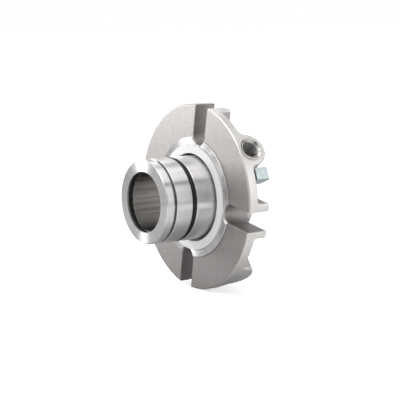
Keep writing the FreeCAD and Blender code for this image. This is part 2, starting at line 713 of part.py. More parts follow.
def make_clip(number):
    """A clip as it stands at +X, then turned to its own place round the gland."""
    body = new_body(f"setting_clip_{number}")
    half = size.clip_width / 2
    front = size.hub_back + size.clip_slack
    outline = across_sketch(body, "block_outline", front)
    draw(outline, [
        (clip_reach, -half),
        (clip_reach, half),
        (clip_circle, half),
        (clip_circle, -half, clip_circle, 0, 1),
    ])
    raised(body, "block", outline, size.clip_back - front, True)

    groove_front = size.collar_front + size.clip_groove_front
    tongue_half = size.tongue_width / 2
    tongue_end = clip_groove_floor + size.tongue_gap
    tongue = across_sketch(body, "tongue_outline", groove_front + size.tongue_slack)
    draw(tongue, [
        (tongue_end, -tongue_half),
        (clip_circle, -tongue_half),
        (clip_circle, tongue_half),
        (tongue_end, tongue_half),
    ])
    raised(body, "tongue", tongue, size.clip_groove - size.tongue_slack * 2, True)

    hole = across_sketch(body, "hole_outline", front - size.overrun)
    draw_circle(hole, clip_circle, 0, size.clip_screw_radius + size.clip_screw_gap)
    cut(body, "hole", hole, size.clip_back - front + size.overrun * 2)
    recess_depth = size.screw_head_sunk + size.screw_head_height + size.clip_slack
    recess = across_sketch(body, "recess_outline", size.clip_back)
    draw_circle(recess, clip_circle, 0, size.screw_head_radius + size.screw_head_gap)
    cut(body, "recess", recess, recess_depth, True)

    reach = clip_reach.value

    def outer_back(edge):
        return lies_at(edge, size.clip_back.value) and all(
            abs(vertex.Point.x - reach) < 0.01 for vertex in edge.Vertexes)

    dress(body, "Chamfer", "slope", size.clip_slope, outer_back)

    def outer_side(edge):
        ends = [vertex.Point for vertex in edge.Vertexes]
        return all(abs(end.x - reach) < 0.01 for end in ends) and abs(ends[0].y - ends[-1].y) > 1

    dress(body, "Fillet", "rounds", size.clip_round, outer_side)
    body.Placement = Placement(Vector(), Rotation(Vector(0, 1, 0), 10))
    steps = size.slot_count + 1 - number
    bind(body, "Placement.Rotation.Angle", size.gland_turn - size.clip_turn + steps * 360 / size.slot_count)
    return body


def make_sleeve():
    body = new_body("shaft_sleeve")
    outer = sleeve_radius
    head_back = -size.head_back
    groove_front = size.mouth_lip - size.sleeve_front
    groove_floor = size.bore_radius - size.ring_proud + size.ring_section
    end_groove = size.collar_back + size.ring_fit
    end_groove_back = end_groove + size.end_ring_thickness + size.ring_fit
    turned(body, "turned_form", [
        (size.bore_radius, -size.sleeve_front),
        (head_radius - size.head_edge, -size.sleeve_front),
        (head_radius, size.head_edge - size.sleeve_front),
        (head_radius, head_back - size.head_slope),
        (head_radius - size.head_slope_depth, head_back),
        (outer, head_back),
        (outer, end_groove),
        (outer - size.end_ring_groove, end_groove),
        (outer - size.end_ring_groove, end_groove_back),
        (outer, end_groove_back),
        (outer, size.sleeve_back - size.sleeve_edge),
        (outer - size.sleeve_edge, size.sleeve_back),
        (size.bore_radius, size.sleeve_back),
        (size.bore_radius, groove_front + size.ring_groove),
        (groove_floor + size.ring_fit, groove_front + size.ring_groove),
        (groove_floor + size.ring_fit, groove_front),
        (size.bore_radius, groove_front),
    ])
    pocket = across_sketch(body, "spring_pocket_outline", head_back)
    half_step = 180 / size.spring_count
    draw_circle(pocket, spring_circle * cosine(half_step), spring_circle * sine(half_step),
                size.spring_hole)
    pocket_cut = cut(body, "spring_pocket", pocket, size.spring_depth, True)
    repeat(body, "spring_pockets", [pocket_cut], size.spring_count)
    seat = across_sketch(body, "drive_pin_outline", head_back)
    draw_circle(seat, spring_circle, 0, size.drive_pin_radius + size.pin_fit)
    seat_cut = cut(body, "drive_pin_hole", seat, size.drive_pin_seat, True)
    repeat(body, "drive_pin_holes", [seat_cut], size.drive_pin_count)
    screw = radial_sketch(body, "screw_outline", 0, size.bore_radius - size.overrun)
    draw_circle(screw, size.grub_place, 0, size.grub_radius + size.grub_hole_gap)
    screw_cut = cut(body, "screw_hole", screw, size.sleeve_wall + size.overrun * 2, True)
    repeat(body, "screw_holes", [screw_cut], size.grub_count)
    return body


def make_springs():
    """Coil springs between the bottom of the head's pockets and the retainer's."""
    body = new_body("face_springs")
    coil_radius = size.spring_hole - size.spring_gap - size.spring_wire / 2
    bottom = -size.head_back - size.spring_depth + size.spring_gap + size.spring_wire / 2
    top = -size.head_back + size.head_travel + size.spring_depth - size.spring_gap - size.spring_wire / 2
    wire = new_sketch(body, "wire_outline", "XY_Plane")
    bind(wire, "AttachmentOffset.Base.x", spring_circle)
    bind(wire, "AttachmentOffset.Base.y", bottom)
    draw_circle(wire, coil_radius, 0, size.spring_wire / 2)
    coil = body.newObject("PartDesign::AdditiveHelix", "coil")
    coil.Profile = wire
    coil.ReferenceAxis = (wire, ["V_Axis"])
    coil.Mode = "height-turns-angle"
    bind(coil, "Height", top - bottom)
    bind(coil, "Turns", size.spring_turns)
    repeat(body, "coils", [], size.spring_count)
    body.Placement = Placement(Vector(), Rotation(Vector(0, 1, 0), 10))
    bind(body, "Placement.Rotation.Angle", 180 / size.spring_count)
    return body


def make_drive_pins():
    body = new_body("drive_pins")
    start = size.head_back + size.drive_pin_seat - size.pin_fit
    pin = across_sketch(body, "pin_outline", -start)
    draw_circle(pin, spring_circle, 0, size.drive_pin_radius)
    length = size.drive_pin_seat + size.head_travel + size.drive_pin_reach
    pin_pad = raised(body, "pin", pin, length, True)
    repeat(body, "pins", [pin_pad], size.drive_pin_count)
    return body


def make_retainer():
    body = new_body("head_retainer")
    inner = sleeve_radius + size.slide_gap
    front = size.head_travel - size.head_back
    back = -size.retainer_back
    edge = size.retainer_edge
    turned(body, "turned_form", [
        (inner, front),
        (head_radius - edge, front),
        (head_radius, front + edge),
        (head_radius, back - edge),
        (head_radius - edge, back),
        (spigot_radius, back),
        (spigot_radius, back + size.spigot_length),
        (inner, back + size.spigot_length),
    ])
    pocket = across_sketch(body, "spring_pocket_outline", front)
    half_step = 180 / size.spring_count
    draw_circle(pocket, spring_circle * cosine(half_step), spring_circle * sine(half_step),
                size.spring_hole)
    pocket_cut = cut(body, "spring_pocket", pocket, size.spring_depth)
    repeat(body, "spring_pockets", [pocket_cut], size.spring_count)
    slot = across_sketch(body, "drive_pin_outline", front)
    draw_circle(slot, spring_circle, 0, size.drive_pin_radius + size.drive_pin_gap)
    slot_cut = cut(body, "drive_pin_hole", slot, size.drive_pin_reach + size.head_travel + size.drive_pin_gap)
    repeat(body, "drive_pin_holes", [slot_cut], size.drive_pin_count)
    pin = across_sketch(body, "carrier_pin_outline", back + size.spigot_length)
    draw_circle(pin, carrier_pin_circle, 0, size.carrier_pin_radius + size.pin_fit)
    pin_cut = cut(body, "carrier_pin_hole", pin, size.carrier_pin_length / 2 + size.pin_fit, True)
    repeat(body, "carrier_pin_holes", [pin_cut], size.carrier_pin_count)
    return body


def make_carrier():
    body = new_body("face_carrier")
    inner = sleeve_radius + size.slide_gap
    front = size.cushion_section - size.retainer_back
    spigot_floor = size.spigot_length + size.spigot_gap - size.retainer_back
    groove_floor = sleeve_radius + size.ring_fit * 2 + size.inner_ring_section
    groove_front = -size.inner_ring_place - size.inner_groove / 2
    edge = size.carrier_edge
    seat = face_radius + size.face_gap
    turned(body, "turned_form", [
        (spigot_radius + size.spigot_gap, front),
        (head_radius - edge, front),
        (head_radius, front + edge),
        (head_radius, size.carrier_back - edge),
        (head_radius - edge, size.carrier_back),
        (seat, size.carrier_back),
        (seat, size.carrier_floor),
        (inner, size.carrier_floor),
        (inner, groove_front + size.inner_groove),
        (groove_floor, groove_front + size.inner_groove),
        (groove_floor, groove_front),
        (inner, groove_front),
        (inner, spigot_floor),
        (spigot_radius + size.spigot_gap, spigot_floor),
    ])
    pin = across_sketch(body, "carrier_pin_outline", spigot_floor)
    draw_circle(pin, carrier_pin_circle, 0, size.carrier_pin_radius + size.pin_fit)
    pin_cut = cut(body, "carrier_pin_hole", pin, size.carrier_pin_length / 2 + size.pin_fit)
    repeat(body, "carrier_pin_holes", [pin_cut], size.carrier_pin_count)
    return body


def make_carrier_pins():
    body = new_body("carrier_pins")
    middle = size.spigot_length - size.retainer_back
    pin = across_sketch(body, "pin_outline", middle - size.carrier_pin_length / 2)
    draw_circle(pin, carrier_pin_circle, 0, size.carrier_pin_radius)
    pin_pad = raised(body, "pin", pin, size.carrier_pin_length, True)
    repeat(body, "pins", [pin_pad], size.carrier_pin_count)
    return body


def make_rotary_face():
    body = new_body("rotary_face")
    nose = size.faces_meet - size.film
    turned(body, "ring", [
        (face_bore, size.carrier_floor),
        (face_radius, size.carrier_floor),
        (face_radius, size.face_body_back),
        (nose_outer, size.face_body_back),
        (nose_outer, nose),
        (nose_inner, nose),
        (nose_inner, size.face_body_back),
        (face_bore, size.face_body_back),
    ])
    return body


def make_collar():
    body = new_body("lock_collar")
    inner = sleeve_radius + size.collar_fit
    groove_front = size.collar_front + size.clip_groove_front
    groove_back = groove_front + size.clip_groove
    edge = size.collar_edge
    turned(body, "turned_form", [
        (inner, size.collar_front),
        (collar_radius - edge, size.collar_front),
        (collar_radius, size.collar_front + edge),
        (collar_radius, groove_front),
        (clip_groove_floor, groove_front),
        (clip_groove_floor, groove_back),
        (collar_radius, groove_back),
        (collar_radius, size.collar_back - edge),
        (collar_radius - edge, size.collar_back),
        (inner, size.collar_back),
    ])
    screw = radial_sketch(body, "screw_outline", 0, inner - size.overrun)
    draw_circle(screw, size.grub_place, 0, size.grub_radius + size.thread_fit)
    screw_cut = cut(body, "screw_hole", screw, collar_radius - inner + size.overrun * 2, True)
    repeat(body, "screw_holes", [screw_cut], size.grub_count)
    return body


def make_collar_screws():
    body = new_body("collar_screws")
    screw = radial_sketch(body, "screw_outline", 0, grub_tip)
    draw_circle(screw, size.grub_place, 0, size.grub_radius)
    raised(body, "screw", screw, grub_head - grub_tip)
    tip = grub_tip.value

    def point(edge):
        return edge.Curve.TypeId == "Part::GeomCircle" and abs(edge.Curve.Center.x - tip) < 0.01

    dress(body, "Chamfer", "point", size.grub_point, point)
    socket = radial_sketch(body, "socket_outline", 0, grub_head)
    draw(socket, hexagon(size.grub_place, 0, size.grub_socket))
    cut(body, "socket", socket, size.grub_socket_depth)
    repeat(body, "screws", [], size.grub_count)
    return body


def make_end_ring():
    outer = sleeve_radius
    inner = outer - size.end_ring_groove + size.ring_fit
    front = size.collar_back + size.ring_fit * 1.5
    return snap_ring("sleeve_ring", inner, end_ring_radius, front, size.end_ring_thickness,
                     size.end_ring_opening_turn)


def check_and_write():
    """Checks every object of the document, and writes one file for each sub-part."""
    doc.recompute()
    for item in doc.Objects:
        if "Invalid" in item.State or "Error" in item.State:
            raise RuntimeError(f"{item.Name} has the state {item.State}")
    os.makedirs("parts", exist_ok=True)
    for item in parts:
        shape = item.Shape
        if shape.isNull() or not shape.isValid():
            raise RuntimeError(f"{item.Label} has no valid shape")
        shape.exportStep(f"parts/{item.Label}.step")
        print(f"{item.Label}: {len(shape.Solids)} solids, {shape.Volume:.1f} mm3")


on_gland = [
    make_gland(),
    make_gasket(),
    make_stationary_face(),
    make_stationary_ring(),
    make_pins(),
    make_bush(),
    make_bush_ring(),
    make_clip_screws(),
]
on_shaft = [
    make_sleeve(),
    ring_on_axis("shaft_o_ring", size.mouth_lip + size.ring_groove / 2 - size.sleeve_front,
                 size.bore_radius - size.ring_proud, size.ring_section),
    make_drive_pins(),
    make_collar(),
    make_collar_screws(),
    make_end_ring(),
]
on_slide = [
    make_springs(),
    make_retainer(),
    ring_on_axis("cushion_o_ring", size.cushion_section / 2 - size.retainer_back, spigot_radius,
                 size.cushion_section),
    make_carrier(),
    make_carrier_pins(),
    ring_on_axis("sleeve_o_ring", -size.inner_ring_place,
                 sleeve_radius + size.ring_fit, size.inner_ring_section),
    make_rotary_face(),
]
clips = [make_clip(number) for number in range(1, int(size.slot_count.value) + 1)]
for item in on_gland:
    if item.TypeId == "PartDesign::Body":
        clock(item)
parts = on_gland + on_shaft + on_slide + clips
check_and_write()
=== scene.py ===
import math

import bpy
from mathutils import Matrix, Vector


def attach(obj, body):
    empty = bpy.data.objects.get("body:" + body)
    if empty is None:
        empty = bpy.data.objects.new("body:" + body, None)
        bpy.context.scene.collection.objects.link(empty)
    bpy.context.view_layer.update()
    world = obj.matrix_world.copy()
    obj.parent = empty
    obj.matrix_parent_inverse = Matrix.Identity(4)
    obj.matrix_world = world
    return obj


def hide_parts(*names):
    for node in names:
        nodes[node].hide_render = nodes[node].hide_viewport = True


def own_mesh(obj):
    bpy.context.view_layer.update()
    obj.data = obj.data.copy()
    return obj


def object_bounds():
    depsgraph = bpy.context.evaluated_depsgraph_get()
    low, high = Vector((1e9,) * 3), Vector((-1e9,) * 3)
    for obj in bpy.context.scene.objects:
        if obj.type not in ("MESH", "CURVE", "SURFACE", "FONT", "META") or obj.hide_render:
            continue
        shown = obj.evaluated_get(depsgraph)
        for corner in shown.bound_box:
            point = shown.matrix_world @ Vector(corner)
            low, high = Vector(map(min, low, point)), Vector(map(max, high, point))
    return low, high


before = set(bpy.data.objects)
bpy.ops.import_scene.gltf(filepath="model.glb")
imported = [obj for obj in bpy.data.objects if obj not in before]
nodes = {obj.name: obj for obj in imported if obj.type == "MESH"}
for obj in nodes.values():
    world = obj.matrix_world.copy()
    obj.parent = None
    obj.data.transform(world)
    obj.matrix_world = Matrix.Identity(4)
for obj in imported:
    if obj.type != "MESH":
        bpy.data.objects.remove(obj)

# Looks of the cartridge mechanical seal. The CAD shapes every piece but the port's thread,
# and the shaft axis lies along Y.
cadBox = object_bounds()
mm = 0.001
print("frame loaded:", len(nodes), "CAD nodes")


def hexColour(text):
    # an sRGB hex value as linear red, green, blue and alpha
    values = [int(text[i:i + 2], 16) / 255 for i in (1, 3, 5)]
    linear = [v / 12.92 if v <= 0.04045 else ((v + 0.055) / 1.055) ** 2.4 for v in values]
    return (*linear, 1.0)


def addNode(tree, kind, inputs=None, stops=(), **settings):
    # a node with its settings; an input takes a value or another node's output,
    # and stops are the places and hex colours of a colour ramp
    node = tree.nodes.new(kind)
    for name, value in settings.items():
        setattr(node, name, value)
    for key, value in (inputs or {}).items():
        if isinstance(value, bpy.types.NodeSocket):
            tree.links.new(value, node.inputs[key])
        else:
            node.inputs[key].default_value = value
    for index, (place, colour) in enumerate(stops):
        element = node.color_ramp.elements[index]
        element.position = place
        element.color = hexColour(colour)
    return node


def newMaterial(name):
    material = bpy.data.materials.new(name)
    material.use_nodes = True
    tree = material.node_tree
    tree.nodes.clear()
    place = addNode(tree, "ShaderNodeTexCoord").outputs["Object"]
    return material, tree, place


def shades(look):
    # the dark and the light shade of a look, at their places in a colour ramp
    return tuple(zip(look.get("stops", (0.0, 1.0)), (look["dark"], look["light"])))


def roughnessSpan(look):
    return dict(zip(("To Min", "To Max"), look["roughness"]))


def addObject(name, data):
    made = bpy.data.objects.new(name, data)
    bpy.context.scene.collection.objects.link(made)
    return made


noiseSpan = {"From Min": 0.3, "From Max": 0.7}  # most of a noise's values lie between these

# Investment-cast stainless steel, bead blasted: a matte grey grain with no direction.
castLook = {
    "light": "#BFBBBA",
    "dark": "#9C9897",
    "shadeSpan": 0.22,         # how far from its middle the mixed noise reaches a full shade
    "roughness": (0.46, 0.56),
    "grain": 1.0 * mm,         # the blasted grain is finer, drawn as coarse as it needs to show
    "grainDepth": 0.03 * mm,
    "cloud": 4 * mm,           # slow change of shade over the casting
    "cloudShare": 0.25,
    "skin": 5 * mm,            # waviness of the cast skin
    "skinDepth": 0.015 * mm,
}
# the rim has been linished after casting, so it is brighter and smoother than the faces
rimLook = {**castLook, "light": "#D6D4D2", "dark": "#C7C4C2", "roughness": (0.34, 0.42),
           "grainDepth": 0.012 * mm}
# the walls of the slots get a painted shade: the cast steel made darker, because little light
# reaches into them
slotPaintedShadeLook = {**castLook, "light": "#A8A4A3", "dark": "#888483"}


def castSteel(name="castStainlessSteel", look=castLook):
    material, tree, place = newMaterial(name)
    grain = addNode(tree, "ShaderNodeTexNoise", {
        "Vector": place, "Scale": 1 / look["grain"], "Detail": 3.0, "Roughness": 0.6})
    cloud = addNode(tree, "ShaderNodeTexNoise", {
        "Vector": place, "Scale": 1 / look["cloud"], "Detail": 2.0})
    skin = addNode(tree, "ShaderNodeTexNoise", {
        "Vector": place, "Scale": 1 / look["skin"], "Detail": 1.0})
    mixed = addNode(tree, "ShaderNodeMath", {
        0: cloud.outputs["Fac"], 1: look["cloudShare"], 2: grain.outputs["Fac"]},
        operation="MULTIPLY_ADD")
    middle = (1 + look["cloudShare"]) / 2
    shade = addNode(tree, "ShaderNodeMapRange", {
        "Value": mixed.outputs[0], "From Min": middle - look["shadeSpan"],
        "From Max": middle + look["shadeSpan"]})
    colour = addNode(tree, "ShaderNodeValToRGB", {"Fac": shade.outputs[0]}, shades(look))
    rough = addNode(tree, "ShaderNodeMapRange", {
        "Value": grain.outputs["Fac"], **noiseSpan, **roughnessSpan(look)})
    waves = addNode(tree, "ShaderNodeBump", {
        "Height": skin.outputs["Fac"], "Distance": look["skinDepth"]})
    bump = addNode(tree, "ShaderNodeBump", {
        "Height": grain.outputs["Fac"], "Distance": look["grainDepth"],
        "Normal": waves.outputs[0]})
    shader = addNode(tree, "ShaderNodeBsdfPrincipled", {
        "Base Color": colour.outputs["Color"], "Metallic": 1.0, "Roughness": rough.outputs[0],
        "Normal": bump.outputs[0]})
    addNode(tree, "ShaderNodeOutputMaterial", {"Surface": shader.outputs[0]})
    return material


# Stainless steel turned in a lathe: fine rings round the shaft axis, so light spreads across them.
turnedLook = {
    "light": "#E0DFDE",
    "dark": "#BFBEBD",
    "ringSpan": (0.7, 1.3),    # the sum of the two ring noises at the dark and the light shade
    "roughness": (0.28, 0.34),
    "ring": 0.7 * mm,          # tool marks are 0.1 to 0.2 mm, drawn as coarse as they need to show
    "fineRing": 0.3 * mm,
    "distortion": (0.031, 0.077),  # of the coarse and the fine rings
    "ringDepth": 0.0012 * mm,
    "anisotropy": 0.95,
    "spreadTurn": 0.25,        # a quarter turn from the rings, so the highlight lies across them
    "streaks": 7.0,            # streaks in a radian round the shaft
    "streakShare": 0.4,
}
# the sleeve's bore is honed, so it is shinier than the turned faces, and shafts have drawn long
# streaks along it, from dark to bright
boreLook = {**turnedLook, "light": "#F4F2F0", "dark": "#8F8D8B", "roughness": (0.20, 0.26),
            "streakShare": 0.75}


def turnedSteel(name="turnedStainlessSteel", look=turnedLook):
    material, tree, place = newMaterial(name)
    parts = addNode(tree, "ShaderNodeSeparateXYZ", {"Vector": place})
    flat = addNode(tree, "ShaderNodeCombineXYZ", {
        "X": parts.outputs["X"], "Z": parts.outputs["Z"]})
    radius = addNode(tree, "ShaderNodeVectorMath", {0: flat.outputs[0]}, operation="LENGTH")
    # radius and length together, so that end faces and cylinders both get rings
    along = addNode(tree, "ShaderNodeMath", {
        0: radius.outputs["Value"], 1: parts.outputs["Y"]}, operation="ADD")
    rings = []
    for pitch, distortion in zip((look["ring"], look["fineRing"]), look["distortion"]):
        steps = addNode(tree, "ShaderNodeMath", {
            0: along.outputs[0], 1: 1 / pitch}, operation="MULTIPLY")
        ring = addNode(tree, "ShaderNodeTexNoise", {
            "W": steps.outputs[0], "Scale": 1.0, "Detail": 2.0, "Distortion": distortion},
            noise_dimensions="1D")
        rings.append(ring.outputs["Fac"])
    both = addNode(tree, "ShaderNodeMath", {0: rings[0], 1: rings[1]}, operation="ADD")
    shade = addNode(tree, "ShaderNodeMapRange", {
        "Value": both.outputs[0], "From Min": look["ringSpan"][0],
        "From Max": look["ringSpan"][1]})
    outward = addNode(tree, "ShaderNodeVectorMath", {0: flat.outputs[0]},
                      operation="NORMALIZE")
    streaks = addNode(tree, "ShaderNodeTexNoise", {
        "Vector": outward.outputs[0], "Scale": look["streaks"], "Detail": 4.0})
    bands = addNode(tree, "ShaderNodeMapRange", {"Value": streaks.outputs["Fac"], **noiseSpan})
    # 0, 2 and 3 are the share and the two values that it mixes
    tone = addNode(tree, "ShaderNodeMix", {
        0: look["streakShare"], 2: shade.outputs[0], 3: bands.outputs[0]})
    colour = addNode(tree, "ShaderNodeValToRGB", {"Fac": tone.outputs[0]}, shades(look))
    rough = addNode(tree, "ShaderNodeMapRange", {
        "Value": rings[0], **noiseSpan, **roughnessSpan(look)})
    bump = addNode(tree, "ShaderNodeBump", {
        "Height": both.outputs[0], "Distance": look["ringDepth"]})
    # the tangent runs round the shaft, as the rings do
    turnedBack = addNode(tree, "ShaderNodeMath", {
        0: parts.outputs["X"], 1: -1.0}, operation="MULTIPLY")
    roundAxis = addNode(tree, "ShaderNodeCombineXYZ", {
        "X": parts.outputs["Z"], "Z": turnedBack.outputs[0]})
    tangent = addNode(tree, "ShaderNodeVectorTransform", {"Vector": roundAxis.outputs[0]},
                      vector_type="VECTOR", convert_from="OBJECT", convert_to="WORLD")
    shader = addNode(tree, "ShaderNodeBsdfPrincipled", {
        "Base Color": colour.outputs["Color"], "Metallic": 1.0, "Roughness": rough.outputs[0],
        "Normal": bump.outputs[0], "Anisotropic": look["anisotropy"],
        "Anisotropic Rotation": look["spreadTurn"], "Tangent": tangent.outputs[0]})
    addNode(tree, "ShaderNodeOutputMaterial", {"Surface": shader.outputs[0]})
    return material


# Steel of pins, screws, springs and snap rings: ground or drawn, with a light scatter of
# scratches.
smallSteelLook = {"light": "#C9C8C7", "dark": "#ADABA9", "stops": (0.3, 0.7),
                  "roughness": (0.22, 0.36), "mark": 0.5 * mm, "depth": 0.005 * mm}


def smallSteel():
    look = smallSteelLook
    material, tree, place = newMaterial("groundSteel")
    marks = addNode(tree, "ShaderNodeTexNoise", {
        "Vector": place, "Scale": 1 / look["mark"], "Detail": 3.0})
    colour = addNode(tree, "ShaderNodeValToRGB", {"Fac": marks.outputs["Fac"]}, shades(look))
    rough = addNode(tree, "ShaderNodeMapRange", {
        "Value": marks.outputs["Fac"], **roughnessSpan(look)})
    bump = addNode(tree, "ShaderNodeBump", {
        "Height": marks.outputs["Fac"], "Distance": look["depth"]})
    shader = addNode(tree, "ShaderNodeBsdfPrincipled", {
        "Base Color": colour.outputs["Color"], "Metallic": 1.0, "Roughness": rough.outputs[0],
        "Normal": bump.outputs[0]})
    addNode(tree, "ShaderNodeOutputMaterial", {"Surface": shader.outputs[0]})
    return material


# Moulded nitrile rubber: black, with a soft broad sheen and a faint dusting.
rubberLook = {"light": "#131313", "dark": "#0B0B0B", "stops": (0.4, 0.75),
              "roughness": (0.45, 0.6), "dust": 0.7 * mm, "depth": 0.01 * mm}


def rubber():
    look = rubberLook
    material, tree, place = newMaterial("mouldedRubber")
    dust = addNode(tree, "ShaderNodeTexNoise", {
        "Vector": place, "Scale": 1 / look["dust"], "Detail": 3.0})
    colour = addNode(tree, "ShaderNodeValToRGB", {"Fac": dust.outputs["Fac"]}, shades(look))
    rough = addNode(tree, "ShaderNodeMapRange", {
        "Value": dust.outputs["Fac"], **roughnessSpan(look)})
    bump = addNode(tree, "ShaderNodeBump", {
        "Height": dust.outputs["Fac"], "Distance": look["depth"]})
    shader = addNode(tree, "ShaderNodeBsdfPrincipled", {
        "Base Color": colour.outputs["Color"], "Roughness": rough.outputs[0], "IOR": 1.52,
        "Specular IOR Level": 0.3, "Normal": bump.outputs[0]})
    addNode(tree, "ShaderNodeOutputMaterial", {"Surface": shader.outputs[0]})
    return material


# Skived white fluoropolymer sheet: almost white, waxy, with a barely seen mottle.
gasketLook = {"light": "#F0F1F0", "dark": "#E9EAE9", "stops": (0.35, 0.65), "roughness": 0.5,
              "mottle": 1.6 * mm, "depth": 0.01 * mm}


def gasketSheet():
    look = gasketLook
    material, tree, place = newMaterial("whiteGasketSheet")
    mottle = addNode(tree, "ShaderNodeTexNoise", {
        "Vector": place, "Scale": 1 / look["mottle"], "Detail": 4.0})
    colour = addNode(tree, "ShaderNodeValToRGB", {"Fac": mottle.outputs["Fac"]}, shades(look))
    bump = addNode(tree, "ShaderNodeBump", {
        "Height": mottle.outputs["Fac"], "Distance": look["depth"]})
    shader = addNode(tree, "ShaderNodeBsdfPrincipled", {
        "Base Color": colour.outputs["Color"], "Roughness": look["roughness"], "IOR": 1.38,
        "Normal": bump.outputs[0]})
    addNode(tree, "ShaderNodeOutputMaterial", {"Surface": shader.outputs[0]})
    return material


# Zinc plate with a clear blue passivation: pale blue-grey metal, a little cloudy.
zincLook = {"light": "#C8D1D3", "dark": "#B0BBBE", "stops": (0.35, 0.65),
            "roughness": (0.32, 0.46), "cloud": 3 * mm, "grain": 0.6 * mm, "depth": 0.01 * mm,
            "metal": 0.85}     # the film over the zinc takes the rest


def zincPlate():
    look = zincLook
    material, tree, place = newMaterial("blueZincPlate")
    cloud = addNode(tree, "ShaderNodeTexNoise", {
        "Vector": place, "Scale": 1 / look["cloud"], "Detail": 3.0})
    grain = addNode(tree, "ShaderNodeTexNoise", {
        "Vector": place, "Scale": 1 / look["grain"], "Detail": 2.0})
    colour = addNode(tree, "ShaderNodeValToRGB", {"Fac": cloud.outputs["Fac"]}, shades(look))
    rough = addNode(tree, "ShaderNodeMapRange", {
        "Value": grain.outputs["Fac"], **roughnessSpan(look)})
    bump = addNode(tree, "ShaderNodeBump", {
        "Height": grain.outputs["Fac"], "Distance": look["depth"]})
    shader = addNode(tree, "ShaderNodeBsdfPrincipled", {
        "Base Color": colour.outputs["Color"], "Metallic": look["metal"],
        "Roughness": rough.outputs[0], "Normal": bump.outputs[0]})
    addNode(tree, "ShaderNodeOutputMaterial", {"Surface": shader.outputs[0]})
    return material


# The two seal faces and the bush: fine-grained black, grey and brown, and the faces are lapped,
# so they are the smoothest.
darkFaceLooks = {
    "lappedCarbon": {
        "light": "#3A3A3B", "dark": "#262627", "roughness": (0.3, 0.42), "grain": 0.4 * mm},
    "lappedSiliconCarbide": {
        "light": "#5A5C5F", "dark": "#47494C", "roughness": (0.12, 0.22), "grain": 0.3 * mm},
    "filledPolymerBush": {
        "light": "#6B5A45", "dark": "#584A39", "roughness": (0.45, 0.6), "grain": 0.5 * mm},
}


def darkFace(name):
    look = {**darkFaceLooks[name], "stops": (0.35, 0.65)}
    material, tree, place = newMaterial(name)
    grain = addNode(tree, "ShaderNodeTexNoise", {
        "Vector": place, "Scale": 1 / look["grain"], "Detail": 3.0})
    colour = addNode(tree, "ShaderNodeValToRGB", {"Fac": grain.outputs["Fac"]}, shades(look))
    rough = addNode(tree, "ShaderNodeMapRange", {
        "Value": grain.outputs["Fac"], **roughnessSpan(look)})
    shader = addNode(tree, "ShaderNodeBsdfPrincipled", {
        "Base Color": colour.outputs["Color"], "Roughness": rough.outputs[0], "IOR": 1.6})
    addNode(tree, "ShaderNodeOutputMaterial", {"Surface": shader.outputs[0]})
    return material


finishes = {
    "cast": castSteel(),
    "rim": castSteel("linishedCastSteel", rimLook),
    "slot": castSteel("slotPaintedShadeSteel", slotPaintedShadeLook),
    "turned": turnedSteel(),
    "bore": turnedSteel("honedStainlessSteel", boreLook),
    "small": smallSteel(),
    "rubber": rubber(),
    "gasket": gasketSheet(),
    "zinc": zincPlate(),
    "carbon": darkFace("lappedCarbon"),
    "carbide": darkFace("lappedSiliconCarbide"),
    "bush": darkFace("filledPolymerBush"),
}
nodeFinish = {
    "gland": "cast",
    "gland_gasket": "gasket",
    "stationary_face": "carbide",
    "throttle_bush": "bush",
    "rotary_face": "carbon",
    "shaft_sleeve": "turned",
    "head_retainer": "turned",
    "face_carrier": "turned",
    "lock_collar": "turned",
}
for name, node in nodes.items():
    kind = nodeFinish.get(name, "small")
    if name.endswith("o_ring"):
        kind = "rubber"
    elif name.startswith("setting_clip"):
        kind = "zinc"
    node.data.materials.clear()
    node.data.materials.append(finishes[kind])
print("finishes assigned")

# The gland is one casting: its pad, bores and hub are turned, and its rim is linished.
glandCuts = {
    "padEdge": 45.4 * mm,
    "padFront": -0.3 * mm,
    "bore": 39.95 * mm,
    "hub": 56.4 * mm,
    "hubBack": 20.3 * mm,
    "rim": 68.2 * mm,
    "portTurn": 36.0,          # degrees round the shaft
    "portPlace": 10.8 * mm,    # along the shaft
    "portHole": 8.3 * mm,
    "slot": 7.4 * mm,          # from a slot's middle to just past its wall
    "slotFrom": 38.0 * mm,
    "slotTurn": -9.0,          # degrees round the shaft
    "slotStep": 90,            # degrees from slot to slot
}
glandFinishes = ("cast", "turned", "rim", "small", "slot")
sleeveBore = 23.4 * mm
leans = 0.5                    # a face leans a way when its normal has more than this of it
square = 0.9                   # and faces that way when it has more than this


def glandFinish(centre, normal):
    # the finish of one face of the gland
    cuts = glandCuts
    radius = math.hypot(centre.x, centre.z)
    turn = math.radians(cuts["portTurn"])
    fromPort = math.hypot(centre.x * math.sin(turn) - centre.z * math.cos(turn),
                          centre.y - cuts["portPlace"])
    alongPort = centre.x * math.cos(turn) + centre.z * math.sin(turn)
    half = cuts["slotStep"] / 2
    angle = math.degrees(math.atan2(centre.z, centre.x)) - cuts["slotTurn"]
    fromSlot = math.radians((angle + half) % cuts["slotStep"] - half)
    besideSlot = abs(radius * math.sin(fromSlot))
    alongSlot = radius * math.cos(fromSlot)
    onWall = abs(normal.y) < leans and radius > cuts["slotFrom"] and alongSlot < cuts["rim"]
    onPad = radius < cuts["padEdge"] and centre.y < cuts["padFront"]
    onBack = radius < cuts["hub"] and centre.y > cuts["hubBack"] and normal.y > square
    outwards = (normal.x * centre.x + normal.z * centre.z) / radius
    if fromPort < cuts["portHole"] and alongPort > cuts["padEdge"]:
        return "small"
    # slot walls take the darker cast steel, a painted shade
    if besideSlot < cuts["slot"] and onWall:
        return "slot"
    if onPad or onBack or radius < cuts["bore"]:
        return "turned"
    return "rim" if radius > cuts["rim"] and outwards > leans else "cast"


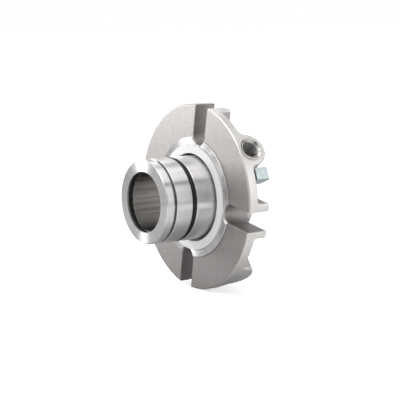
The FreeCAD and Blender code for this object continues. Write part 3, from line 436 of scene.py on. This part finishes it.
gland = nodes["gland"].data
for kind in glandFinishes[1:]:
    gland.materials.append(finishes[kind])
for face in gland.polygons:
    face.material_index = glandFinishes.index(glandFinish(face.center, face.normal))
sleeve = nodes["shaft_sleeve"].data
sleeve.materials.append(finishes["bore"])
for face in sleeve.polygons:
    radius = math.hypot(face.center.x, face.center.z)
    face.material_index = int(radius < sleeveBore and abs(face.normal.y) < leans)
print("gland and bore finished")

# Female thread in the flush port: a sharp ridge that winds down the tapped hole.
portThread = {
    "hole": 6.6 * mm,
    "mouth": 70.3 * mm,        # from the shaft axis
    "lead": 1.8 * mm,
    "depth": 11.0 * mm,
    "pitch": 1.337 * mm,
    "height": 0.5 * mm,
    "steps": 40,               # in a turn
    "corners": 3,              # of the ridge's section
}


def threadTree():
    tree = bpy.data.node_groups.new("portThread", "GeometryNodeTree")
    sizes = (("Radius", portThread["hole"]), ("Pitch", portThread["pitch"]),
             ("Length", portThread["depth"]), ("Height", portThread["height"]))
    for name, value in sizes:
        socket = tree.interface.new_socket(name, in_out="INPUT", socket_type="NodeSocketFloat")
        socket.default_value = value
    tree.interface.new_socket("Geometry", in_out="OUTPUT", socket_type="NodeSocketGeometry")
    given = addNode(tree, "NodeGroupInput").outputs
    turns = addNode(tree, "ShaderNodeMath", {0: given["Length"], 1: given["Pitch"]},
                    operation="DIVIDE")
    helix = addNode(tree, "GeometryNodeCurveSpiral", {
        "Resolution": portThread["steps"], "Rotations": turns.outputs[0],
        "Start Radius": given["Radius"], "End Radius": given["Radius"],
        "Height": given["Length"]})
    upright = addNode(tree, "GeometryNodeSetCurveNormal", {"Curve": helix.outputs[0]},
                      mode="Z_UP")
    section = addNode(tree, "GeometryNodeCurvePrimitiveCircle", {
        "Resolution": portThread["corners"], "Radius": given["Height"]})
    ridge = addNode(tree, "GeometryNodeCurveToMesh", {
        "Curve": upright.outputs[0], "Profile Curve": section.outputs[0], "Fill Caps": True})
    real = addNode(tree, "GeometryNodeRealizeInstances", {"Geometry": ridge.outputs[0]})
    dressed = addNode(tree, "GeometryNodeSetMaterial", {
        "Geometry": real.outputs[0], "Material": finishes["small"]})
    addNode(tree, "NodeGroupOutput", {0: dressed.outputs[0]})
    return tree


def makeThread():
    holder = addObject("portThreadMaker", bpy.data.meshes.new("portThreadMaker"))
    modifier = holder.modifiers.new("thread", "NODES")
    modifier.node_group = threadTree()
    for item in modifier.node_group.interface.items_tree:
        if item.in_out == "INPUT":
            modifier[item.identifier] = item.default_value
    evaluated = holder.evaluated_get(bpy.context.evaluated_depsgraph_get())
    made = bpy.data.meshes.new_from_object(evaluated)
    bpy.data.objects.remove(holder)
    # from the mouth of the port straight in towards the shaft
    turn = math.radians(glandCuts["portTurn"])
    inward = Vector((-math.cos(turn), 0, -math.sin(turn)))
    shaft = Vector((0, 1, 0))
    matrix = Matrix((shaft.cross(inward), shaft, inward)).transposed().to_4x4()
    start = portThread["mouth"] - portThread["lead"] / 2
    matrix.translation = shaft * glandCuts["portPlace"] - inward * start
    made.transform(matrix)
    thread = addObject("port_thread", made)
    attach(thread, "gland_unit")


makeThread()
print("port thread made")


def makeSprings():
    node = nodes["face_springs"]
    mesh = node.data.copy()
    mesh.transform(node.matrix_world)
    coils = addObject("spring_coils", mesh)
    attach(coils, "shaft_unit")
    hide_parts("face_springs")
    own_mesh(coils)


makeSprings()
print("springs made")

# Studio: a pale floor, a white surround, four soft lamps, and cards that only reflections show.
# the camera stands in metres, and its turn, rise and roll are in degrees
camera = {"lens": 123.6, "place": (0.83596, -0.58549, 0.15407), "turn": 54.706, "rise": 8.715,
          "roll": -0.149, "clip": (0.01, 100)}
studio = {
    "floor": "#F4F4F4",
    "floorPaintedShadeInMetal": "#AEAEAE",         # a painted shade that only metal sees, on the left, for the shaded floor near the object
    "floorTurns": (90 * mm, 30 * mm),  # where the painted shade in the metal sets in, across x
    "floorLift": 0.52,         # raises the floor to white where the camera sees it
    "floorLiftInMetal": 0.2,   # and the share of that which metal shows
    "floorHalf": 6.0,          # metres from its middle to its edge
    "worldLight": 0.68,
    "lamps": [
        # name, direction from the object, distance, width, height, watts
        ("keyLamp", (-0.807, -0.571, 0.29), 0.50, 0.075, 0.24, 0.98),
        ("frontLamp", (0.05, -0.80, 0.80), 0.90, 0.50, 0.50, 1.0),
        ("topLamp", (0.02, 0.0, 1.0), 0.80, 0.38, 1.10, 2.9),
        ("backLamp", (0.82, 0.57, 0.34), 1.05, 0.90, 0.80, 1.2),
    ],
    "strips": [
        # name, angle round the shaft, its width, from and to along the shaft, shade, strength
        ("rightDark", 49, 8, -0.9, 0.0, "#303030", 1.0),
        ("rightGrey", 49, 8, 0.0, 0.9, "#8C8C8C", 1.0),
        ("nearDark", 10, 9, -0.9, 0.0, "#303030", 1.0),
        ("leftDark", 139, 10, -0.9, 0.0, "#202020", 1.0),
        ("farDark", 111, 10, 0.0, 0.9, "#606060", 1.0),
        ("leftBright", 127, 14, 0.05, 0.9, "#FFFFFF", 1.8),
        ("leftGrey", 152, 12, 0.0, 0.9, "#606060", 1.0),
    ],
    "stripRadius": 1.0,
    "cards": [
        # name, direction from the object, distance, width, height, shade
        ("roomDark", (0.807, -0.571, 0.08), 1.25, 0.56, 0.90, "#0A0A0A"),
        ("frontGrey", (-0.807, -0.571, -0.06), 1.25, 1.20, 0.95, "#989898"),
    ],
}
white = (1, 1, 1, 1)


def aim(turned, back, roll=0.0):
    # a lamp or the camera looks along its own -Z, away from back
    turned.rotation_mode = "QUATERNION"
    facing = (-back).to_track_quat("-Z", "Y").to_matrix()
    rolled = facing @ Matrix.Rotation(math.radians(roll), 3, "Z")
    turned.rotation_quaternion = rolled.to_quaternion()


def makeCamera():
    turn, rise = math.radians(camera["turn"]), math.radians(camera["rise"])
    back = Vector((math.sin(turn) * math.cos(rise), -math.cos(turn) * math.cos(rise),
                   math.sin(rise)))
    eye = addObject("camera", bpy.data.cameras.new("camera"))
    eye.data.lens = camera["lens"]
    eye.data.clip_start, eye.data.clip_end = camera["clip"]
    eye.location = camera["place"]
    aim(eye, back, camera["roll"])
    bpy.context.scene.camera = eye


def surroundMix(tree, seen, lit, inMetal=1.0):
    # what the eye, metal and glass see, and what lights the object
    path = addNode(tree, "ShaderNodeLightPath").outputs
    mirrored = addNode(tree, "ShaderNodeMath", {0: path["Is Glossy Ray"], 1: inMetal},
                       operation="MULTIPLY")
    direct = addNode(tree, "ShaderNodeMath", {0: path["Is Camera Ray"], 1: mirrored.outputs[0]},
                     operation="MAXIMUM")
    plain = addNode(tree, "ShaderNodeMath", {
        0: direct.outputs[0], 1: path["Is Transmission Ray"]}, operation="MAXIMUM")
    return addNode(tree, "ShaderNodeMixShader", {
        0: plain.outputs[0], 1: lit.outputs[0], 2: seen.outputs[0]})


def makeWorld():
    world = bpy.data.worlds.new("studio")
    world.use_nodes = True
    tree = world.node_tree
    tree.nodes.clear()
    seen = addNode(tree, "ShaderNodeBackground", {"Color": white, "Strength": 1.0})
    lit = addNode(tree, "ShaderNodeBackground", {
        "Color": white, "Strength": studio["worldLight"]})
    addNode(tree, "ShaderNodeOutputWorld", {"Surface": surroundMix(tree, seen, lit).outputs[0]})
    bpy.context.scene.world = world


def makeFloor():
    half, low = studio["floorHalf"], cadBox[0].z
    mesh = bpy.data.meshes.new("floor")
    corners = [(-half, -half, low), (half, -half, low), (half, half, low), (-half, half, low)]
    mesh.from_pydata(corners, [], [(0, 1, 2, 3)])
    material, tree, place = newMaterial("paleFloor")
    path = addNode(tree, "ShaderNodeLightPath").outputs
    bare, inMetal = [
        addNode(tree, "ShaderNodeBsdfDiffuse", {"Color": hexColour(studio[key])}).outputs[0]
        for key in ("floor", "floorPaintedShadeInMetal")]
    across = addNode(tree, "ShaderNodeSeparateXYZ", {0: place}).outputs["X"]
    left = addNode(tree, "ShaderNodeMapRange", {
        "Value": across, "From Min": studio["floorTurns"][0],
        "From Max": studio["floorTurns"][1]})
    # glossy rays see the floor with a painted shade on the left
    dim = addNode(tree, "ShaderNodeMath", {0: path["Is Glossy Ray"], 1: left.outputs[0]},
                  operation="MULTIPLY")
    pale = addNode(tree, "ShaderNodeMixShader", {0: dim.outputs[0], 1: bare, 2: inMetal})
    lift = addNode(tree, "ShaderNodeEmission", {
        "Color": white, "Strength": studio["floorLift"]})
    both = addNode(tree, "ShaderNodeAddShader", {0: pale.outputs[0], 1: lift.outputs[0]})
    mixed = surroundMix(tree, both, pale, studio["floorLiftInMetal"])
    addNode(tree, "ShaderNodeOutputMaterial", {"Surface": mixed.outputs[0]})
    mesh.materials.append(material)
    addObject("floor", mesh)


def makeLamps():
    for name, direction, distance, width, height, watts in studio["lamps"]:
        light = bpy.data.lights.new(name, "AREA")
        light.shape = "RECTANGLE"
        light.size, light.size_y, light.energy = width, height, watts
        lamp = addObject(name, light)
        back = Vector(direction).normalized()
        lamp.location = back * distance
        aim(lamp, back)
        lamp.visible_camera = False


def makeCard(name, corners, shade, strength=1.0):
    mesh = bpy.data.meshes.new(name)
    mesh.from_pydata(corners, [], [(0, 1, 2, 3)])
    material, tree = newMaterial(name)[:2]
    glow = addNode(tree, "ShaderNodeEmission", {"Color": hexColour(shade), "Strength": strength})
    addNode(tree, "ShaderNodeOutputMaterial", {"Surface": glow.outputs[0]})
    mesh.materials.append(material)
    card = addObject(name, mesh)
    card.visible_camera = card.visible_diffuse = False
    card.visible_shadow = card.visible_transmission = False


def makeCards():
    # unlit and lit parts of the room, which show in turned metal as dark and bright streaks
    for name, direction, distance, width, height, shade in studio["cards"]:
        back = Vector(direction).normalized()
        turned = back.to_track_quat("Z", "Y").to_matrix()
        flat = [(-width / 2, -height / 2), (width / 2, -height / 2),
                (width / 2, height / 2), (-width / 2, height / 2)]
        corners = [turned @ Vector((x, y, 0)) + back * distance for x, y in flat]
        makeCard(name, corners, shade)
    for name, angle, width, start, end, shade, strength in studio["strips"]:
        edges = [math.radians(angle + side * width / 2) for side in (-1, 1)]
        lower, upper = [Vector((math.cos(edge), 0, math.sin(edge))) * studio["stripRadius"]
                        for edge in edges]
        near, far = Vector((0, start, 0)), Vector((0, end, 0))
        makeCard(name, [lower + near, upper + near, upper + far, lower + far], shade, strength)


makeCamera()
makeWorld()
makeFloor()
makeLamps()
makeCards()
bpy.context.scene.view_settings.view_transform = "Standard"
print("studio made")
